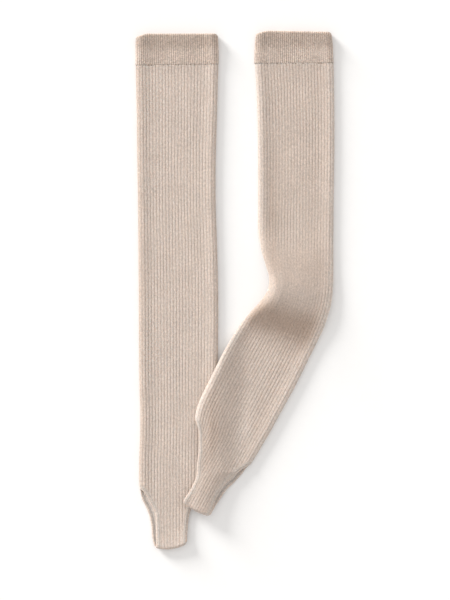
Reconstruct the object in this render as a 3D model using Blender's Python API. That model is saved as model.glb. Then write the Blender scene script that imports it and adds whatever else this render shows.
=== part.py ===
"""Pair of ribbed knee warmers with foot straps, laid flat.

Each warmer is a knitted tube in 2x1 rib, closed flat so that its front panel lies on its back
panel. A turned welt in 1x1 rib is linked to its top. At the ankle the tube is cut out on both
sides, deep at the heel and shallow at the toes, and what is left is a strap that passes under
the foot. The right warmer bends at the knee, and its lower half lies over the left warmer.

The tables are in millimetres. +X is to the right and +Y up the sheet, seen from above, and the
sheet that the pair lies on is z = 0. In a cross-section, `across` runs from the heel side
(negative) to the toe side, and a `turn` of 0 to 0.5 is the front panel from the heel side to
the toe side, and 0.5 to 1 the back panel from the toe side to the heel side.
"""

import math
from dataclasses import dataclass

import bmesh
import bpy
import numpy as np
from mathutils import Vector

MM = 0.001

# The outline of a laid tube is measured at this many places
SIDE_SAMPLES = 14
PANEL_SAMPLES = 120

# Plain (unribbed) surfaces have this many columns on a panel, and these turns round a side
PANEL_COLUMNS = 12
SIDE_TURN = 0.029
RIBS_TURN = 0.02  # the ribs go this far round under a side
SAME_TURN = 2e-4  # points of two rows that are closer than this are joined straight

# Where the right warmer lies on the left one
LAY_GAP = 1.1  # clearance between the two
LAY_FALL = 42.0  # how far beyond the left warmer's edge it comes down to the sheet
LAY_SCOOP_SHARE = 0.6  # how much of the left warmer's heel cut it sags into


@dataclass
class Table:
    """Rows of numbers with named columns; the first column is the place of each row."""

    columns: str
    rows: tuple

    def at(self, place):
        """The columns at a place between the rows, by name, eased through the rows."""
        rows = np.array(self.rows, float)
        knots, values = rows[:, 0], rows[:, 1:]
        steps = np.diff(knots)[:, None]
        chords = np.diff(values, axis=0) / steps
        inner = (chords[1:] * steps[:-1] + chords[:-1] * steps[1:]) / (steps[1:] + steps[:-1])
        slopes = np.vstack([chords[:1], inner, chords[-1:]])
        k = int(np.clip(np.searchsorted(knots, place) - 1, 0, len(knots) - 2))
        step = steps[k, 0]
        u = (place - knots[k]) / step
        found = (
            values[k] * (1 + 2 * u) * (1 - u) ** 2
            + slopes[k] * step * u * (1 - u) ** 2
            + values[k + 1] * u * u * (3 - 2 * u)
            + slopes[k + 1] * step * u * u * (u - 1)
        )
        return dict(zip(self.columns.split()[1:], (float(v) for v in found)))


@dataclass
class Knit:
    """A knitted tube's cloth, and how it lies when it is flat."""

    wall: float  # thickness over the ribs
    relief: float  # depth of the grooves between the ribs
    ribs: int  # ribs round the tube
    groove: float  # half the width of a groove, 0 for ribs that are plain waves
    height: float  # of the laid tube, in its middle
    side_swell: float  # how much higher the sides stand, where the cloth turns round
    side_radius: float  # of that turn


LEG_KNIT = Knit(
    wall=2.3, relief=0.7, ribs=52, groove=0.75, height=6.2, side_swell=2.2, side_radius=4.2
)
WELT_KNIT = Knit(
    wall=3.3, relief=0.5, ribs=80, groove=0.0, height=7.7, side_swell=1.6, side_radius=4.7
)
SWELL_PLACE = 6.0  # how far from the side the tube is highest
SWELL_SPREAD = 8.0
HUMP_PEAK = -0.55  # where a puffed front panel is highest, -1 at the heel side to 1
HUMP_FALL = 0.5  # how much lower it is at the heel side
PUFF_RADIUS = 0.25  # how much of the puff goes into the sides' radius

# A leg's lie, a row for each section down from the seam: the heel side and the toe side of the
# flat tube, how much the section is lifted, how much the front panel stands off the back one,
# how much the heel side alone is lifted, and how far the cloth is rolled under that side.
LEG_COLUMNS = "down heel_x heel_y toe_x toe_y rise puff lean roll"
LEFT_LEG = Table(
    LEG_COLUMNS,
    (
        (0.0, -24.0, 328.8, -144.6, 327.3, 0.0, 0.0, 0.0, 0.0),
        (65.5, -25.8, 262.4, -143.2, 262.4, 0.0, 0.0, 0.0, 0.0),
        (145.0, -28.0, 182.9, -142.2, 182.9, 0.0, 0.0, 0.0, 0.0),
        (196.6, -28.0, 131.3, -141.3, 131.3, 0.0, 0.0, 0.0, 0.0),
        (262.0, -26.0, 65.9, -140.6, 65.9, 0.0, 0.0, 0.0, 0.0),
        (327.6, -24.4, 0.3, -140.2, 0.3, 0.0, 0.0, 0.0, 0.0),
        (458.6, -25.4, -130.7, -139.3, -130.7, 0.0, 0.0, 0.0, 0.0),
        (516.9, -26.2, -189.0, -137.9, -189.0, 0.0, 0.0, 0.0, 0.0),
        (592.3, -26.6, -264.4, -139.6, -264.4, 0.0, 0.0, 0.0, 0.0),
        (617.3, -26.6, -289.4, -139.2, -289.4, 0.0, 0.0, 0.0, 0.0),
        (665.3, -26.6, -337.4, -138.8, -337.4, 0.0, 0.2, 0.0, 0.0),
        (690.3, -26.6, -362.4, -138.8, -362.4, 0.9, 1.2, 0.0, 0.0),
        (705.3, -26.6, -377.4, -138.8, -377.4, 2.4, 2.4, 0.0, 0.0),
    ),
)
RIGHT_LEG = Table(
    LEG_COLUMNS,
    (
        (0.0, 28.8, 329.9, 143.6, 330.5, 0.0, 0.0, 0.0, 0.0),
        (50.0, 31.6, 279.8, 144.5, 279.8, 0.0, 0.0, 0.0, 0.0),
        (111.0, 33.1, 218.7, 144.8, 218.7, 0.0, 0.0, 0.0, 0.0),
        (198.0, 33.5, 131.3, 143.7, 131.3, 0.0, 0.0, 0.0, 0.0),
        (249.0, 34.2, 80.4, 143.3, 80.4, 0.0, 1.0, 0.5, 0.004),
        (278.0, 39.2, 54.2, 143.2, 48.3, 0.0, 4.0, 2.4, 0.022),
        (301.0, 45.0, 35.2, 143.2, 22.1, 0.3, 7.0, 4.8, 0.044),
        (321.0, 49.4, 17.8, 142.6, 0.3, 0.8, 9.5, 6.8, 0.052),
        (341.0, 47.3, 0.3, 139.4, -22.7, 1.4, 11.0, 7.5, 0.046),
        (364.0, 35.4, -17.2, 133.0, -44.6, 1.4, 9.6, 6.0, 0.032),
        (378.0, 26.2, -27.4, 127.9, -57.9, 0.9, 6.2, 3.8, 0.022),
        (394.0, 15.8, -39.2, 120.2, -74.3, 0.3, 2.6, 1.6, 0.012),
        (417.0, 4.2, -55.0, 108.7, -97.6, 0.0, 0.7, 0.3, 0.003),
        (452.0, -12.0, -81.2, 91.3, -133.0, 0.0, 0.0, 0.0, 0.0),
        (510.2, -37.9, -132.1, 63.2, -184.8, 0.0, 0.0, 0.0, 0.0),
        (537.9, -50.0, -156.8, 49.8, -209.3, 0.0, 0.0, 0.0, 0.0),
        (554.8, -55.9, -172.9, 40.9, -224.0, 0.0, 0.0, 0.0, 0.0),
        (570.5, -58.9, -188.6, 32.9, -237.6, 0.0, 0.0, 0.0, 0.0),
        (590.3, -66.3, -207.1, 22.4, -254.7, 0.0, 0.0, 0.0, 0.0),
        (646.4, -93.5, -256.4, -4.9, -304.2, 0.0, 0.3, 0.0, 0.0),
        (671.4, -105.4, -278.4, -16.8, -326.2, 0.8, 1.3, 0.0, 0.0),
        (686.4, -112.5, -291.6, -23.9, -339.4, 2.2, 2.4, 0.0, 0.0),
    ),
)

# How far the heel and toe openings are cut in from the tube's sides, by the distance below
# the opening's top, in the front panel and in the back one.
SCOOP_COLUMNS = "drop front back"
LEFT_HEEL_SCOOP = Table(
    SCOOP_COLUMNS,
    (
        (0.0, 0.0, 0.0),
        (7.0, 11.7, 11.0),
        (20.0, 20.7, 20.5),
        (35.0, 28.7, 30.0),
        (51.0, 36.2, 38.5),
        (64.0, 40.2, 42.5),
        (79.0, 41.8, 43.5),
        (113.0, 43.6, 43.6),
    ),
)
LEFT_TOE_SCOOP = Table(
    SCOOP_COLUMNS,
    (
        (0.0, 0.0, 0.0),
        (3.0, 5.4, 0.6),
        (8.0, 9.2, 1.3),
        (16.0, 13.8, 4.2),
        (25.0, 18.4, 8.8),
        (35.0, 22.2, 13.0),
        (52.0, 23.8, 16.8),
        (74.0, 24.0, 18.6),
        (88.0, 24.4, 22.0),
    ),
)
RIGHT_HEEL_SCOOP = Table(
    SCOOP_COLUMNS,
    (
        (0.0, 0.0, 0.0),
        (4.0, 5.2, 5.6),
        (10.0, 10.2, 11.4),
        (22.4, 16.6, 19.0),
        (38.1, 24.2, 27.6),
        (54.0, 31.2, 35.8),
        (69.0, 38.8, 43.0),
        (85.0, 41.0, 44.6),
        (103.0, 40.6, 42.4),
        (115.9, 39.4, 39.4),
    ),
)
RIGHT_TOE_SCOOP = Table(
    SCOOP_COLUMNS,
    (
        (0.0, 0.0, 0.0),
        (6.7, 4.6, 2.4),
        (18.1, 10.6, 4.8),
        (33.6, 16.5, 8.6),
        (45.0, 18.8, 13.0),
        (57.2, 20.0, 14.6),
        (68.3, 19.3, 15.6),
        (80.5, 17.7, 16.4),
        (96.4, 16.8, 16.8),
    ),
)

# Below a toe opening's top the rows are this far apart down to the strap's fold
TOE_ROWS = (6.0, 15.0, 26.0, 38.0, 50.0, 64.0)
STRAP_ROWS = (20.0, 9.0)  # the last rows, above the fold
CLOSEST_ROWS = 3.0
FOLD_TURNS = 4  # facets round the strap's fold
BORDER_RIB = 4.4  # the edge rib that runs along each opening
BORDER_GROOVE = 5.2
BORDER = 6.2  # the straight ribs end here
GROOVE_FADE = 5.0  # and their grooves start over this length
FOLD_FADE = 34.0  # the strap's end is bowed from here to its fold
BOW_MOST = 2.0  # times the bow's depth

# A welt's lie, a row for each section up from 0.3 above the leg: its two sides, how much
# thicker its cloth is than at the seam, and how much higher it lies there.
WELT_COLUMNS = "up heel_x heel_y toe_x toe_y thicker higher"
LEFT_WELT_LIE = Table(
    WELT_COLUMNS,
    (
        (0.0, -23.7, 329.1, -145.0, 327.6, 0.0, 0.0),
        (14.0, -23.6, 342.8, -144.8, 341.8, 0.0, 0.2),
        (26.0, -23.9, 354.8, -144.7, 354.2, 0.4, 1.2),
        (36.5, -24.3, 365.0, -144.6, 365.0, 1.1, 2.9),
        (42.5, -24.6, 371.0, -144.5, 371.0, 1.5, 3.6),
    ),
)
RIGHT_WELT_LIE = Table(
    WELT_COLUMNS,
    (
        (0.0, 27.9, 330.2, 143.6, 330.8, 0.0, 0.0),
        (14.0, 28.1, 344.4, 143.0, 344.4, 0.0, 0.2),
        (28.0, 28.8, 358.2, 142.4, 357.4, 0.4, 1.2),
        (40.5, 29.6, 370.3, 141.4, 368.6, 1.1, 2.9),
        (45.6, 30.1, 375.6, 141.0, 373.5, 1.5, 3.6),
    ),
)
WELT_RIM_TURNS = 4  # facets over the turned edge

# The leg's rows between the seam and the heel opening, down from the seam
LEFT_ROWS = (0, 65.5, 150, 240, 327.6, 400, 458.6, 500, 530, 560)
RIGHT_ROWS = (
    *(0, 60, 130, 195, 236),
    *range(256, 430, 14),
    *(442, 466, 492, 516, 538, 556),
)

YARN = (0.62, 0.52, 0.45, 1.0)
WELT_YARN = (0.57, 0.47, 0.40, 1.0)


@dataclass
class Leg:
    """One warmer's leg: its lie, its openings and where the strap's fold bows out."""

    lie: Table
    rows: tuple
    heel_scoop: Table
    toe_scoop: Table
    heel_top: float  # the openings' tops, above the fold
    toe_top: float
    bow_centre: float  # across
    bow_span: float
    bow_depth: float

    @property
    def length(self):
        return self.lie.rows[-1][0]

    def bow(self, across):
        """How far the strap's fold bows in at a place across it."""
        share = min(((across - self.bow_centre) / self.bow_span) ** 2, BOW_MOST)
        return self.bow_depth * share


LEFT = Leg(
    lie=LEFT_LEG,
    rows=LEFT_ROWS,
    heel_scoop=LEFT_HEEL_SCOOP,
    toe_scoop=LEFT_TOE_SCOOP,
    heel_top=113.0,
    toe_top=88.0,
    bow_centre=17.0,
    bow_span=24.0,
    bow_depth=6.0,
)
RIGHT = Leg(
    lie=RIGHT_LEG,
    rows=RIGHT_ROWS,
    heel_scoop=RIGHT_HEEL_SCOOP,
    toe_scoop=RIGHT_TOE_SCOOP,
    heel_top=115.9,
    toe_top=96.4,
    bow_centre=12.0,
    bow_span=24.0,
    bow_depth=4.5,
)


@dataclass
class Welt:
    """One warmer's welt: its lie, and how its two top corners are rounded off."""

    lie: Table
    heel_corner: tuple  # over this length and by this drop
    toe_corner: tuple

    def drop(self, section, across):
        """How far the top edge is rounded off at a place across it."""
        length, most = self.heel_corner if across < 0 else self.toe_corner
        return most * max(1 - (section.half - abs(across)) / length, 0.0) ** 2


LEFT_WELT = Welt(lie=LEFT_WELT_LIE, heel_corner=(5.5, 3.4), toe_corner=(20.0, 6.0))
RIGHT_WELT = Welt(lie=RIGHT_WELT_LIE, heel_corner=(22.0, 5.8), toe_corner=(6.0, 3.6))


def ease(share):
    """0 below 0, 1 above 1, with a soft start and end between."""
    share = np.clip(share, 0.0, 1.0)
    return share * share * (3 - 2 * share)


class Section:
    """One cross-section of a laid tube: its outline, and where that stands."""

    def __init__(self, knit, heel, toe, rise=0, puff=0, lean=0, roll=0, thicker=0, higher=0):
        heel, toe = Vector(heel), Vector(toe)
        self.knit = knit
        self.roll = roll
        self.centre = (heel + toe) / 2
        self.half = (toe - heel).length / 2
        self.across = (toe - heel).normalized()
        self.rise, self.lean = rise, lean
        self.wall = knit.wall + thicker
        radius = knit.side_radius + thicker + PUFF_RADIUS * puff
        quarter = np.linspace(0.0, math.pi / 2, SIDE_SAMPLES)
        round_side = -self.half + radius * (1 - np.cos(quarter))
        middle = np.linspace(-self.half + radius, self.half - radius, PANEL_SAMPLES)[1:-1]
        a = np.concatenate([round_side, middle, -round_side[::-1]])
        share = np.concatenate([np.sin(quarter), np.ones_like(middle), np.sin(quarter)[::-1]])
        inset = self.half - abs(a)
        swell = knit.side_swell * np.exp(-(((inset - SWELL_PLACE) / SWELL_SPREAD) ** 2))
        swell = np.where(inset < SWELL_PLACE, knit.side_swell, swell)
        top = knit.height + higher + swell + puff * self.hump(a / self.half)
        middle_height = radius * np.ones_like(a)
        front = middle_height + (top - middle_height) * share
        back = middle_height * (1 - share)
        self.sides = [self.measured(a, front), self.measured(a[::-1], back[::-1])]

    @staticmethod
    def hump(u):
        """How a puffed front panel is shared out, highest towards the heel side."""
        heel_side = 1 - HUMP_FALL * ((HUMP_PEAK - u) / (1 + HUMP_PEAK)) ** 2
        return np.where(u < HUMP_PEAK, heel_side, (1 - u) / (1 - HUMP_PEAK))

    @staticmethod
    def measured(a, z):
        """An outline's points with their places from 0 to 1 and their outward normals."""
        da, dz = np.gradient(a), np.gradient(z)
        length = np.hypot(da, dz)
        steps = np.hypot(np.diff(a), np.diff(z))
        place = np.concatenate([[0.0], np.cumsum(steps)])
        return place / place[-1], a, z, -dz / length, da / length

    def point(self, turn, depth=0.0):
        """(across, height) at a turn, this deep inside the outline."""
        if turn < self.roll:
            turn += 1
        if turn <= 0.5:
            side, place = 0, (turn - self.roll) / (0.5 - self.roll)
        else:
            side, place = 1, (turn - 0.5) / (0.5 + self.roll)
        places, a, z, normal_a, normal_z = self.sides[side]
        values = [np.interp(place, places, v) for v in (a, z, normal_a, normal_z)]
        if place in (0.0, 1.0):
            values[2:] = [-1.0 if (side, place) in ((0, 0.0), (1, 1.0)) else 1.0, 0.0]
        scale = depth / math.hypot(values[2], values[3])
        return values[0] - scale * values[2], values[1] - scale * values[3]

    def turn_at(self, across, front):
        """The turn at which a panel is this far across."""
        places, a = self.sides[0 if front else 1][:2]
        if front:
            return self.roll + (0.5 - self.roll) * float(np.interp(across, a, places))
        return 0.5 + (0.5 + self.roll) * float(np.interp(across, a[::-1], places[::-1]))

    def perimeter(self):
        return sum(float(np.hypot(np.diff(s[1]), np.diff(s[2])).sum()) for s in self.sides)

    def stand(self, across, height, down=0.0):
        """Where a point of the section stands on the sheet, `down` the leg from it."""
        along = Vector((self.across.y, -self.across.x))
        if along.y > 0:
            along = -along
        spot = self.centre + self.across * across + along * down
        lean = self.lean * (1 - across / self.half) / 2
        return Vector((spot.x, spot.y, height + self.rise + lean))


def rib_points(section, low, high):
    """(turn, depth) pairs over the ribs between two turns: the ribs' edges and the grooves."""
    knit = section.knit
    points = []
    around = section.perimeter()
    for k in range(-knit.ribs // 4, knit.ribs + 1):
        groove = (k + 0.5) / knit.ribs
        if knit.groove:
            shoulder = knit.groove / around
            rib = [(groove - shoulder, 0.0), (groove, knit.relief), (groove + shoulder, 0.0)]
        else:
            rib = [(groove, knit.relief), (groove + 0.5 / knit.ribs, 0.0)]
        points += [(t, depth) for t, depth in rib if low < t < high]
    return points


def plain_points(depth, low, high):
    """(turn, depth) pairs of a plain surface between two turns, closer round the sides."""
    panel = np.linspace(SIDE_TURN, 0.5 - SIDE_TURN, PANEL_COLUMNS + 1)
    turns = np.concatenate([[0.0, SIDE_TURN / 2], panel, [0.5 - SIDE_TURN / 2]])
    turns = np.concatenate([turns, turns + 0.5])
    return [(float(t), depth) for t in turns if low < t < high]


def outer_points(section, low, high):
    """The outer surface: ribs on the front and round the sides, plain underneath."""
    ribs_end, ribs_start = 0.5 + RIBS_TURN, 1 - RIBS_TURN
    points = rib_points(section, low, min(high, ribs_end))
    points += plain_points(0.0, max(low, ribs_end), min(high, ribs_start))
    points += [(t + 1, d) for t, d in rib_points(section, ribs_start - 1, min(high, 1) - 1)]
    if low < 0.5 < high:
        points = [p for p in points if abs(p[0] - 0.5) > SAME_TURN / 2] + [(0.5, 0.0)]
    return sorted(points)


def scoop(table, drop, front):
    """How far an opening is cut in from the tube's side, this far below its top."""
    return max(table.at(drop)["front" if front else "back"], 0.0)


@dataclass
class Strand:
    """Part of a row of the wall: matching rows of outer and inner points."""

    outer: list
    inner: list


class Wall:
    """A closed cloth wall, made row by row."""

    def __init__(self):
        self.mesh = bmesh.new()

    def vertices(self, points, place):
        """Vertices for (turn, depth) points, kept with their turns."""
        return [(turn, self.mesh.verts.new(place(turn, depth) * MM)) for turn, depth in points]

    def face(self, *corners):
        corners = list(dict.fromkeys(corners))
        if len(corners) > 2:
            self.mesh.faces.new(corners)

    def zip(self, row, following):
        """Faces between two rows of (turn, vertex), which may differ in length."""
        i = j = 0
        while i < len(row) - 1 or j < len(following) - 1:
            ahead = row[i + 1][0] if i < len(row) - 1 else math.inf
            below = following[j + 1][0] if j < len(following) - 1 else math.inf
            if abs(ahead - below) < SAME_TURN:
                self.face(row[i][1], following[j][1], following[j + 1][1], row[i + 1][1])
                i, j = i + 1, j + 1
            elif ahead < below:
                self.face(row[i][1], following[j][1], row[i + 1][1])
                i += 1
            else:
                self.face(row[i][1], following[j][1], following[j + 1][1])
                j += 1

    def join(self, strand, following):
        self.zip(strand.outer, following.outer)
        self.zip(strand.inner, following.inner)

    def edge(self, strand, following, end):
        """The cut edge between two strands' ends, 0 for their first points or -1."""
        corners = (strand.outer, following.outer, following.inner, strand.inner)
        self.face(*(row[end][1] for row in corners))

    def finish(self, name, colour, parent):
        """The wall as an object, with its own material, under the pair's empty."""
        bmesh.ops.triangulate(self.mesh, faces=self.mesh.faces)
        bmesh.ops.recalc_face_normals(self.mesh, faces=self.mesh.faces)
        data = bpy.data.meshes.new(name)
        self.mesh.to_mesh(data)
        self.mesh.free()
        data.shade_smooth()
        data.materials.append(yarn_material(name + "_yarn", colour))
        piece = bpy.data.objects.new(name, data)
        piece.parent = parent
        bpy.context.collection.objects.link(piece)
        return piece


def yarn_material(name, colour):
    material = bpy.data.materials.new(name)
    material.use_nodes = True
    shader = material.node_tree.nodes["Principled BSDF"]
    shader.inputs["Base Color"].default_value = colour
    shader.inputs["Roughness"].default_value = 0.95
    shader.inputs["Metallic"].default_value = 0.0
    return material


def leg_section(leg, down):
    """The leg's cross-section this far down from its seam."""
    at = leg.lie.at(down)
    lifts = {name: max(at[name], 0.0) for name in ("rise", "puff", "lean", "roll")}
    return Section(LEG_KNIT, (at["heel_x"], at["heel_y"]), (at["toe_x"], at["toe_y"]), **lifts)


def left_edge(y):
    """The left warmer's right-hand edge beside the right warmer, cut in at the heel."""
    up = y - LEFT.lie.at(LEFT.length)["heel_y"]
    edge = LEFT.lie.at(min(max(LEFT.length - up, 0.0), LEFT.length))["heel_x"]
    drop = min(max(LEFT.heel_top - up, 0.0), LEFT.heel_top)
    return edge - LAY_SCOOP_SHARE * scoop(LEFT.heel_scoop, drop, True)


def lie_over_left(x, y):
    """How far the right warmer is held up by the left one at a place."""
    inside = left_edge(y) - x
    crest = LEG_KNIT.side_swell
    if inside > SWELL_PLACE:
        crest *= math.exp(-(((inside - SWELL_PLACE) / SWELL_SPREAD) ** 2))
    height = LEG_KNIT.height + crest + LAY_GAP
    return height * float(1 - ease(-inside / LAY_FALL))


def lie_flat(x, y):
    return 0.0


def leg_wall(leg, held_up):
    """The whole leg: tube, openings and strap, as one wall."""
    wall = Wall()

    def placer(section, fold_share=0.0):
        def place(turn, depth):
            across, height = section.point(turn, depth)
            spot = section.stand(across, height, -leg.bow(across) * fold_share)
            spot.z += held_up(spot.x, spot.y)
            return spot

        return place

    def strand(section, low, high, fold_share=0.0):
        """A row between two turns, with the edge ribs where it doesn't end at a side."""
        place = placer(section, fold_share)
        around = section.perimeter()
        outer_low, outer_high = low, high
        border = []
        if low > 0:
            outer_low = low + BORDER / around
            border += [(low + BORDER_RIB / around, 0.0)]
            border += [(low + BORDER_GROOVE / around, LEG_KNIT.relief)]
        if high < 1:
            outer_high = high - BORDER / around
            border += [(high - BORDER_RIB / around, 0.0)]
            border += [(high - BORDER_GROOVE / around, LEG_KNIT.relief)]
        underneath = 0.5 + SIDE_TURN
        border = [p for p in border if p[0] < underneath]
        if high > underneath:
            outer_high = high
        fade = GROOVE_FADE / around
        ends = [(low, 0.0), (high, 0.0)]
        if low == 0.0 and high == 1.0:
            ends = [(low, 0.0)]
        if low < underneath:
            outer = outer_points(section, outer_low, outer_high)
        else:
            outer = plain_points(0.0, low, high)
        outer = [(t, d * float(ease(min(t - outer_low, outer_high - t) / fade))) for t, d in outer]
        outer = wall.vertices(sorted(outer + border + ends), place)
        wall_depth = section.wall
        inner = plain_points(wall_depth, low, high) + [(t, wall_depth) for t, _ in ends]
        inner = wall.vertices(sorted(inner), place)
        if low == 0.0 and high == 1.0:
            outer.append((1.0, outer[0][1]))
            inner.append((1.0, inner[0][1]))
        return Strand(outer, inner)

    def cut_turns(section, up):
        """The turns where a row this far above the fold is cut at the openings."""
        heel, toe = leg.heel_top - up, leg.toe_top - up
        turns = [0.0, 0.5, 0.5, 1.0]
        if heel > 0:
            turns[0] = section.turn_at(-section.half + scoop(leg.heel_scoop, heel, True), True)
            turns[3] = section.turn_at(-section.half + scoop(leg.heel_scoop, heel, False), False)
        if toe > 0:
            turns[1] = section.turn_at(section.half - scoop(leg.toe_scoop, toe, True), True)
            turns[2] = section.turn_at(section.half - scoop(leg.toe_scoop, toe, False), False)
        return turns

    # the closed tube
    ring = None
    for down in (*leg.rows, leg.length - leg.heel_top):
        following = strand(leg_section(leg, down), 0.0, 1.0)
        if ring:
            wall.join(ring, following)
        else:
            wall.zip(following.outer, following.inner)
        ring = following

    # open at the heel, closed at the toes
    between = leg.heel_top - leg.toe_top
    for up in (leg.heel_top - between / 3, leg.heel_top - between * 2 / 3, leg.toe_top):
        section = leg_section(leg, leg.length - up)
        low, _, _, high = cut_turns(section, up)
        following = strand(section, low, high)
        wall.join(ring, following)
        wall.edge(ring, following, 0)
        wall.edge(ring, following, -1)
        ring = following

    # open at both: the front and the back panel
    rows = (ring.outer, ring.inner)
    front = Strand(*([point for point in row if point[0] <= 0.5] for row in rows))
    back = Strand(*([point for point in row if point[0] >= 0.5] for row in rows))
    fold = leg_section(leg, leg.length)
    fold_radius = (fold.point(0.25)[1] - fold.point(0.75)[1]) / 2
    ups = [leg.toe_top - drop for drop in TOE_ROWS]
    ups = [up for up in ups if up > STRAP_ROWS[0] + CLOSEST_ROWS]
    for up in (*ups, *STRAP_ROWS, fold_radius):
        section = leg_section(leg, leg.length - up)
        share = 1 - up / FOLD_FADE if up < FOLD_FADE else 0.0
        turns = cut_turns(section, up)
        next_front = strand(section, turns[0], turns[1], share)
        next_back = strand(section, turns[2], turns[3], share)
        for panel, following in ((front, next_front), (back, next_back)):
            wall.join(panel, following)
            wall.edge(panel, following, 0)
            wall.edge(panel, following, -1)
        front, back = next_front, next_back

    # the strap's fold, from the front panel round to the back one
    section = leg_section(leg, leg.length - fold_radius)
    middle = section.point(0.25)[1] - fold_radius
    share = 1 - fold_radius / FOLD_FADE

    def fold_vertices(row, depth, angle):
        vertices = []
        for turn, vertex in row:
            across = section.point(turn)[0]
            own_depth = depth if depth else depth_of[vertex]
            radius = fold_radius - own_depth
            below = radius * math.sin(angle) - leg.bow(across) * share
            spot = section.stand(across, middle + radius * math.cos(angle), below)
            spot.z += held_up(spot.x, spot.y)
            vertices.append((turn, wall.mesh.verts.new(spot * MM)))
        return vertices

    grooves = {t for t, d in outer_points(section, 0.0, 0.5) if d > 0}
    depth_of = {v: LEG_KNIT.relief if t in grooves else 0.0 for t, v in front.outer}
    first = front
    for k in range(1, FOLD_TURNS):
        angle = math.pi * k / FOLD_TURNS
        outer = fold_vertices(first.outer, 0.0, angle)
        inner = fold_vertices(first.inner, section.wall, angle)
        following = Strand(outer, inner)
        wall.join(front, following)
        wall.edge(front, following, 0)
        wall.edge(front, following, -1)
        front = following
    flipped = [[(1 - t, v) for t, v in reversed(row)] for row in (back.outer, back.inner)]
    last = Strand(*flipped)
    wall.join(front, last)
    wall.edge(front, last, 0)
    wall.edge(front, last, -1)
    return wall


def welt_wall(welt):
    """A welt: two plies of knit, turned at the top edge and laid flat."""
    wall = Wall()
    sections = []
    for up, *_ in welt.lie.rows:
        at = welt.lie.at(up)
        heel, toe = (at["heel_x"], at["heel_y"]), (at["toe_x"], at["toe_y"])
        lifts = {"thicker": at["thicker"], "higher": at["higher"]}
        sections.append(Section(WELT_KNIT, heel, toe, **lifts))

    def ring(section, depth, plain, up=0.0, corner=1.0):
        def place(turn, own_depth):
            across, height = section.point(turn, own_depth + depth)
            return section.stand(across, height, corner * welt.drop(section, across) - up)

        points = plain_points(0.0, 0.0, 1.0) if plain else outer_points(section, 0.0, 1.0)
        vertices = wall.vertices(sorted([*points, (0.0, 0.0)]), place)
        return [*vertices, (1.0, vertices[0][1])]

    shares = [k / (len(sections) - 1) for k in range(len(sections))]
    outer = [ring(s, 0.0, False, corner=share) for s, share in zip(sections, shares)]
    inner = [ring(s, s.wall, True, corner=share) for s, share in zip(sections, shares)]
    wall.zip(outer[0], inner[0])
    for rows in (outer, inner):
        for row, following in zip(rows, rows[1:]):
            wall.zip(row, following)
    top, half_wall = sections[-1], sections[-1].wall / 2
    row = outer[-1]
    for k in range(1, WELT_RIM_TURNS):
        angle = math.pi * k / WELT_RIM_TURNS
        depth = half_wall * (1 - math.cos(angle))
        following = ring(top, depth, k > WELT_RIM_TURNS // 2, half_wall * math.sin(angle))
        wall.zip(row, following)
        row = following
    wall.zip(row, inner[-1])
    return wall


def clear_scene():
    for old in list(bpy.data.objects):
        bpy.data.objects.remove(old, do_unlink=True)


def stand_on_centre(pair, pieces):
    """Moves the pair so that the middle of its underside is the world's origin."""
    corners = [v.co for piece in pieces for v in piece.data.vertices]
    low = Vector([min(c[k] for c in corners) for k in range(3)])
    high = Vector([max(c[k] for c in corners) for k in range(3)])
    pair.location = (-(low.x + high.x) / 2, -(low.y + high.y) / 2, -low.z)


def main():
    clear_scene()
    pair = bpy.data.objects.new("pair", None)
    bpy.context.collection.objects.link(pair)
    pieces = [
        leg_wall(LEFT, lie_flat).finish("leg_left", YARN, pair),
        welt_wall(LEFT_WELT).finish("welt_left", WELT_YARN, pair),
        leg_wall(RIGHT, lie_over_left).finish("leg_right", YARN, pair),
        welt_wall(RIGHT_WELT).finish("welt_right", WELT_YARN, pair),
    ]
    stand_on_centre(pair, pieces)


main()
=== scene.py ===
"""Looks of a pair of ribbed knee warmers with foot straps, laid flat on a white sheet.

Each leg is a knitted wall in 2x1 rib: an outer skin with its ribs, a plain inner skin, and a
knitted edging round the heel and the toe opening. Each welt is a turned band in 1x1 rib, linked
to the leg with a row of small stitches.

The tables are in millimetres, and the meshes in metres. In a cross-section, `across` runs from
the heel side (negative) to the toe side, and a `turn` of 0 to 0.5 is the front panel from the
heel side to the toe side, and 0.5 to 1 the back panel from the toe side to the heel side.
A leg is also one long sheet: `run` goes down the front panel, round the strap's fold and up the
back panel, and `share` goes from 0 at the heel side to 0.5 at the toe side on both panels.
"""

import math
from dataclasses import dataclass

import bmesh
import bpy
import numpy as np
from mathutils import Matrix, Vector


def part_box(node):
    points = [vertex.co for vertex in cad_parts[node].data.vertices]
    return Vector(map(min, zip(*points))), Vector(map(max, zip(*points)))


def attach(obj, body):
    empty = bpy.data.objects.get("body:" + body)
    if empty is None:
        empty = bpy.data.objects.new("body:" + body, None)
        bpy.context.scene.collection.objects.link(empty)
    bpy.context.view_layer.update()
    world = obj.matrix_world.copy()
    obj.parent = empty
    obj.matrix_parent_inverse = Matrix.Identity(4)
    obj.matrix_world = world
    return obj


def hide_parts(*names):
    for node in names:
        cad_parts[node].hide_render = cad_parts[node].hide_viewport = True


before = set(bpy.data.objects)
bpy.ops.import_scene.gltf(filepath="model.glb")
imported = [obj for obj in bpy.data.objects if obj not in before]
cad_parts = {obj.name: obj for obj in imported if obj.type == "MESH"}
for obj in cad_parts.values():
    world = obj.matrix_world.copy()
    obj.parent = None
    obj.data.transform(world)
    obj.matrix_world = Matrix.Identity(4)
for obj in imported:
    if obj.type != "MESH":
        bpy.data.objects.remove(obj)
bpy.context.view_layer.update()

MM = 0.001


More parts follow.
